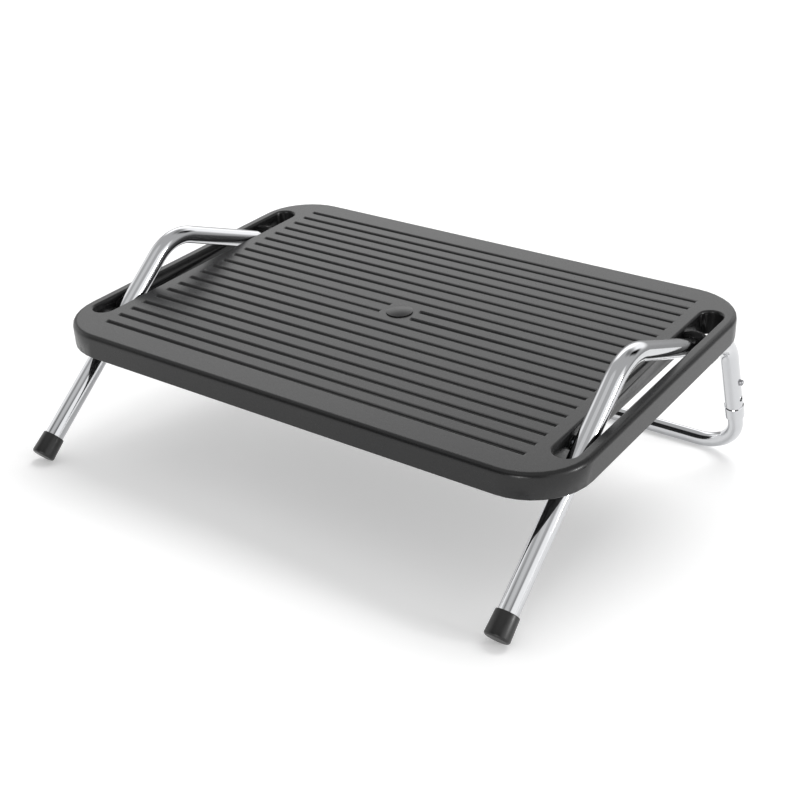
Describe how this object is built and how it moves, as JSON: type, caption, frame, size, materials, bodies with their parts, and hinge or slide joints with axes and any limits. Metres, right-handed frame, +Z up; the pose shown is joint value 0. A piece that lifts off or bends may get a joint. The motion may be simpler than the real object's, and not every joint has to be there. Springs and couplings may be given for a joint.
{
  "type": "footrest",
  "caption": "Tilted footrest: a ribbed platform with side slots, held in bent chromed side tubes whose rear bar telescopes to change the slope.",
  "frame": {"origin": "on the floor, under the middle of the footprint", "axes": "+X across the footrest, towards its right side as seen from the front; +Y from the front to the rear; +Z up"},
  "size_m": [0.462, 0.4258, 0.1668],
  "materials": {
    "black_plastic": "fine-grained moulded black",
    "chrome": "bright chrome plating",
    "rubber": "black moulded rubber",
    "spring_steel": "dark spring steel",
    "zinc": "bright zinc plating"
  },
  "bodies": {
    "frame": {"platform": "black_plastic", "centre_plug": "black_plastic", "side_tube_left": "chrome", "side_tube_right": "chrome", "sleeve_ferrule_left": "chrome", "sleeve_ferrule_right": "chrome", "foot_cap_left": "rubber", "foot_cap_right": "rubber", "rear_strap_left": "black_plastic", "rear_strap_right": "black_plastic", "strap_screw_inner_left": "zinc", "strap_screw_inner_right": "zinc", "strap_screw_outer_left": "zinc", "strap_screw_outer_right": "zinc", "front_screw_left": "zinc", "front_screw_right": "zinc", "front_washer_left": "black_plastic", "front_washer_right": "black_plastic", "front_spacer_left": "black_plastic", "front_spacer_right": "black_plastic"},
    "rear_bar": {"rear_u_bar": "chrome"},
    "left_button": {"snap_button_left": "spring_steel"},
    "right_button": {"snap_button_right": "spring_steel"}
  },
  "joints": [
    {"name": "rear_bar_slide", "type": "slide", "parent": "frame", "child": "rear_bar", "axis": [0, 0.512, -0.859], "range_m": [0, 0.02], "deforming": ["snap_button_left", "snap_button_right"]},
    {"name": "left_button_press", "type": "slide", "parent": "rear_bar", "child": "left_button", "axis": [1, 0, 0], "range_m": [0, 0.0036], "stiffness_N_per_m": 2500, "springref_m": -0.002, "deforming": ["snap_button_left"]},
    {"name": "right_button_press", "type": "slide", "parent": "rear_bar", "child": "right_button", "axis": [-1, 0, 0], "range_m": [0, 0.0036], "stiffness_N_per_m": 2500, "springref_m": -0.002, "deforming": ["snap_button_right"]}
  ]
}
